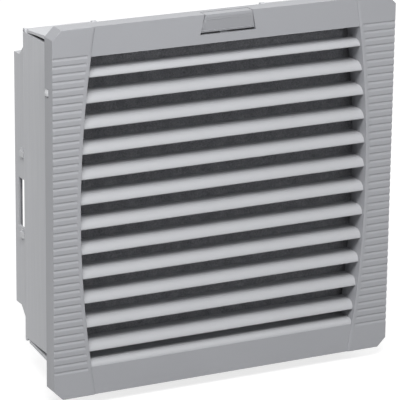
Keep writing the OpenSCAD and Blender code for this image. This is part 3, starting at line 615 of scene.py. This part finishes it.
def foam():
    """Dull foam: the distance from the middle of the nearest cell gives both the tint and the height."""
    material, tree, shader = new_material("polyurethane_foam_painted_pit_shade")
    place = add(tree, "ShaderNodeTexCoord").outputs["Object"]
    cells = add(tree, "ShaderNodeTexVoronoi", {"Vector": place}, Scale=1 / CELL_W)
    tint = add(tree, "ShaderNodeMix", {"Factor": cells.outputs["Distance"]}, data_type="RGBA")
    # Darker in the middle of each cell: painted shade in the pits, paler on the walls.
    tint.inputs[COLOUR_A].default_value = linear("#9B9C9F")
    tint.inputs[COLOUR_B].default_value = linear("#C2C3C6")
    bump = add(tree, "ShaderNodeBump", {"Height": cells.outputs["Distance"]}, Strength=0.6, Distance=CELL_H)
    tree.links.new(tint.outputs[COLOUR_OUT], shader.inputs["Base Color"])
    tree.links.new(bump.outputs[0], shader.inputs["Normal"])
    shader.inputs["Roughness"].default_value = 0.9
    return material


gasket_foam_pit_shade = foam()
print("gasket:", gasket_foam_pit_shade.name)

# %% [markdown]
# The strip follows the flange outside and the cut-out inside, squeezed between flange and cabinet. Foam
# bulges where it is free, and a plain ring with square edges would look too hard, so the outer edge is a
# shallow parabola.

# %% Foam gasket
# Half width, lower and upper edge, and cuts of the upper and lower corners, of the strip and of its hole
STRIP = (155.6 * MM, -151.2 * MM, 155.6 * MM, 9.5 * MM, 12.5 * MM)
HOLE = (145.3 * MM, -145.8 * MM, 145.8 * MM, 2 * MM, 2 * MM)
STRIP_REAR, STRIP_FRONT, BULGE = -0.05 * MM, -2.95 * MM, 0.35 * MM
STRETCH_STEPS, BULGE_STEPS = 24, 9


def flange_path(half_x, low, high, high_cut, low_cut):
    """Outline of a rectangle with cut corners as X and Z, every stretch in equal steps."""
    corners = np.array([[-half_x + low_cut, low], [half_x - low_cut, low], [half_x, low + low_cut],
                        [half_x, high - high_cut], [half_x - high_cut, high], [-half_x + high_cut, high],
                        [-half_x, high - high_cut], [-half_x, low + low_cut]])
    return round_corners(corners, STRETCH_STEPS)


def gasket_points():
    """Rows go round the flange, columns round the strip's section: the outer edge bulges by a parabola, and
    the inner edge is the cut-out of the cabinet, reached by the same share of the way round."""
    outer, inner = flange_path(*STRIP), flange_path(*HOLE)
    out = outer / np.linalg.norm(outer, axis=1)[:, None]
    t = np.linspace(0, 1, BULGE_STEPS)[None, :, None]
    rim = outer[:, None, :] + out[:, None, :] * (BULGE * 4 * t * (1 - t))
    hole_y = np.array([STRIP_REAR, (STRIP_REAR + STRIP_FRONT) / 2, STRIP_FRONT])
    hole = np.repeat(inner[:, None, :], len(hole_y), axis=1)
    flat = np.concatenate([rim, hole], axis=1)
    y = np.concatenate([np.linspace(STRIP_FRONT, STRIP_REAR, BULGE_STEPS), hole_y])
    return np.stack([flat[:, :, 0], np.broadcast_to(y, flat.shape[:2]), flat[:, :, 1]], axis=-1)


strip = put("foam_gasket", gasket_points(), gasket_foam_pit_shade, "housing", ["gasket"], ring=True,
            sharp=50)

# %% [markdown]
# A leaf spring under each flap pushes it outwards. It is a strip of hardened steel with its foot on the
# housing wall and a soft bend up to the flap. A row of straight pieces would show its corners in the
# shine, so the path is a smooth wave and the long edges are round.

# %% Shape of a leaf spring
# The foot and the whole strip take up 0.1 and 0.58 of the flap's run in the CAD model
LEAF_T, FOOT_SHARE = 0.6 * MM, 0.1 / 0.58
LEAF_ROWS, LEAF_EDGE_STEPS = 41, 7


def leaf_points(low, high, up):
    """Rows run along the strip, columns round its section. The path lies flat on the wall for the foot and
    rises by half a cosine wave, and the section is a rectangle whose edges are half circles."""
    t = np.linspace(0, 1, LEAF_ROWS)
    bend = np.clip((t - FOOT_SHARE) / (1 - FOOT_SHARE), 0, 1)
    rise = high[2] - low[2] - LEAF_T
    y = high[1] + (low[1] - high[1]) * t
    z = rise * (1 - np.cos(math.pi * bend)) / 2 + LEAF_T / 2
    angle = np.linspace(-math.pi / 2, math.pi / 2, LEAF_EDGE_STEPS)
    half, r = (high[0] - low[0]) / 2, LEAF_T / 2
    across = np.concatenate([half - r + r * np.cos(angle), r - half - r * np.cos(angle)])
    over = np.concatenate([r * np.sin(angle), -r * np.sin(angle)])
    z = z[:, None] + over[None, :]
    z = low[2] + z if up > 0 else high[2] - z
    x = np.broadcast_to((low[0] + high[0]) / 2 + across, z.shape)
    return np.stack([x, np.broadcast_to(y[:, None], z.shape), z], axis=-1)


print("a leaf spring is", round(LEAF_T / MM, 1), "mm thick")

# %% [markdown]
# Each spring fills the box of its CAD node. When the flap is pressed in, it turns about its rod and its
# underside comes down on the spring, by the distance to the rod times the tangent of the turn. Here each
# strip is drawn at rest, on a mesh of its own.

for level, up in (("top", 1), ("bottom", -1)):
    for side in ("left", "right"):
        where = "%s_%s" % (level, side)
        low, high = (np.array(v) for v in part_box("leaf_spring_" + where))
        leaf = put("leaf_" + where, leaf_points(low, high, up), strip_steel, "housing",
                   ["leaf_spring_" + where])
        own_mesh(leaf)

# %% [markdown]
# The rest of the filter keeps its exact CAD surfaces. Moulded parts never have knife edges, and a rounded
# edge draws the thin bright line that tells the eye it is plastic. The frame's meshes may not be edited, so
# two modifiers join the loose triangles and round every edge by a third of a millimetre. Thin pins, springs
# and the grid stay as they are.

# %% Finish the CAD nodes
FINISH = {"cover_frame": cover_abs, "release_latch": cover_abs, "side_catch": clip_abs,
          "housing": housing_abs, "mat_support_grid": housing_abs, "snap_flap": housing_abs,
          "rear_hood": housing_abs, "hood_clip": clip_abs, "latch_pin": wire_steel,
          "hinge_pin": wire_steel, "flap_rod": wire_steel, "latch_spring": strip_steel,
          "leaf_spring": strip_steel}
KEPT_SHARP = ("pin", "rod", "spring", "grid")
JOIN, ROUND, ROUND_STEPS, ROUND_ANGLE = 0.002 * MM, 0.35 * MM, 2, math.radians(30)


def soften(node):
    """Joins a CAD node's loose triangles and rounds its edges, both with modifiers. Flat faces stay cut in
    triangles, because a merged face can't have a hole in it."""
    weld = node.modifiers.new("join", "WELD")
    weld.merge_threshold = JOIN
    edge = node.modifiers.new("edge", "BEVEL")
    edge.width, edge.segments, edge.limit_method = ROUND, ROUND_STEPS, "ANGLE"
    edge.angle_limit, edge.use_clamp_overlap = ROUND_ANGLE, True
    edge.miter_outer = "MITER_ARC"


for name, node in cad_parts.items():
    for key, material in FINISH.items():
        if name.startswith(key):
            node.data.materials[0] = material
            if not any(word in name for word in KEPT_SHARP):
                soften(node)
print(sum(1 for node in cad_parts.values() if node.modifiers), "CAD nodes have rounded edges")

# %% [markdown]
# A plain pale board lies under the filter. A white board would light the object from below, so this one is
# grey to light, and a glow that only the camera and reflections see lifts it to white, so that just the
# shadow stays visible. It lies a little below the filter, because the front edge of the cover swings down
# past the lower edge as it opens.

# %% Floor
FLOOR_HALF, COVER_SWEEP, FLOOR_GLOW = 8.0, 10 * MM, 0.75

ground = float(cad_low[2]) - COVER_SWEEP
floor_mesh = bpy.data.meshes.new("floor")
floor_mesh.from_pydata([(x * FLOOR_HALF, y * FLOOR_HALF, ground)
                        for x, y in ((-1, -1), (1, -1), (1, 1), (-1, 1))], [], [(0, 1, 2, 3)])
floor = bpy.data.objects.new("floor", floor_mesh)
scene.collection.objects.link(floor)
floor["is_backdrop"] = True
# Painted board, rolled matt: it has no reflection of its own, so the soft shadow reads clearly.
floor_paint, tree, shader = new_material("matt_white_board")
shader.inputs["Base Color"].default_value = linear("#A8A8A8")
shader.inputs["Roughness"].default_value = 0.9
ray = add(tree, "ShaderNodeLightPath")
seen = add(tree, "ShaderNodeMath", {0: ray.outputs["Is Camera Ray"], 1: ray.outputs["Is Glossy Ray"]},
           operation="MAXIMUM")
glow = add(tree, "ShaderNodeMath", {0: seen.outputs[0]}, operation="MULTIPLY")
glow.inputs[1].default_value = FLOOR_GLOW
tree.links.new(glow.outputs[0], shader.inputs["Emission Strength"])
shader.inputs["Emission Color"].default_value = linear("#FFFFFF")
floor_mesh.materials.append(floor_paint)
print("floor at", round(ground / MM, 1), "mm")

# %% [markdown]
# The studio round it is dim, so that the gaps between the blades stay dark. One bright background would fill
# them with light, so there are two: a dim one lights the object, and the camera and reflections see a white
# one. The light paths keep the two apart.

# %% Surroundings
DIM, WHITE = 0.25, 1.0
DIM_COLOUR, WHITE_COLOUR = (0.97, 0.98, 1.0, 1), (1, 1, 1, 1)

world = bpy.data.worlds.new("studio")
scene.world = world
world.use_nodes = True
tree = world.node_tree
tree.nodes.clear()
ray = add(tree, "ShaderNodeLightPath")
seen = add(tree, "ShaderNodeMath", {0: ray.outputs["Is Camera Ray"], 1: ray.outputs["Is Glossy Ray"]},
           operation="MAXIMUM")
seen = add(tree, "ShaderNodeMath", {0: seen.outputs[0], 1: ray.outputs["Is Transmission Ray"]},
           operation="MAXIMUM")
dim = add(tree, "ShaderNodeBackground", Color=DIM_COLOUR, Strength=DIM)
white = add(tree, "ShaderNodeBackground", Color=WHITE_COLOUR, Strength=WHITE)
blend = add(tree, "ShaderNodeMixShader", {0: seen.outputs[0], 1: dim.outputs[0], 2: white.outputs[0]})
add(tree, "ShaderNodeOutputWorld", {"Surface": blend.outputs[0]})
print("surroundings: strength", DIM, "for light,", WHITE, "for the camera")

# %% [markdown]
# Four soft boxes light the filter. A spot or sun would draw hard shadow edges across the louvres. The key
# box stands high on the left in front and gives the blades their gradient. A weak fill opens the shadows, a
# weak side box lights the housing wall, and a box behind lifts the top edge.


# %% Lamps
def lamp(name, azimuth, elevation, distance, width, height, power):
    """A soft box that stands in the given direction from the object, in degrees, and faces it. Distance,
    width and height are in metres and power is in watts."""
    data = bpy.data.lights.new(name, "AREA")
    data.shape, data.size, data.size_y, data.energy = "RECTANGLE", width, height, power
    box = bpy.data.objects.new(name, data)
    box.location = view_back(azimuth, elevation) * distance
    box.rotation_euler = (-view_back(azimuth, elevation)).to_track_quat("-Z", "Y").to_euler()
    scene.collection.objects.link(box)
    print(name, "lamp,", power, "W")


lamp("key", azimuth=-29, elevation=48, distance=1.6, width=1.0, height=0.45, power=24.5)
lamp("fill", azimuth=12, elevation=10, distance=2.4, width=0.8, height=0.8, power=3)
lamp("side", azimuth=-115, elevation=18, distance=2.0, width=1.3, height=1.3, power=3)
lamp("back", azimuth=150, elevation=45, distance=2.4, width=1.6, height=1.6, power=12)

# %% [markdown]
# At the end the box of the finished model is measured again and printed, to be set beside the box of the
# bare frame printed at the start, so that a piece which has grown past the CAD model shows up.

# %% Box of the finished model
low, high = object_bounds()
print("finished box", [round(v, 4) for v in (*low, *high)])
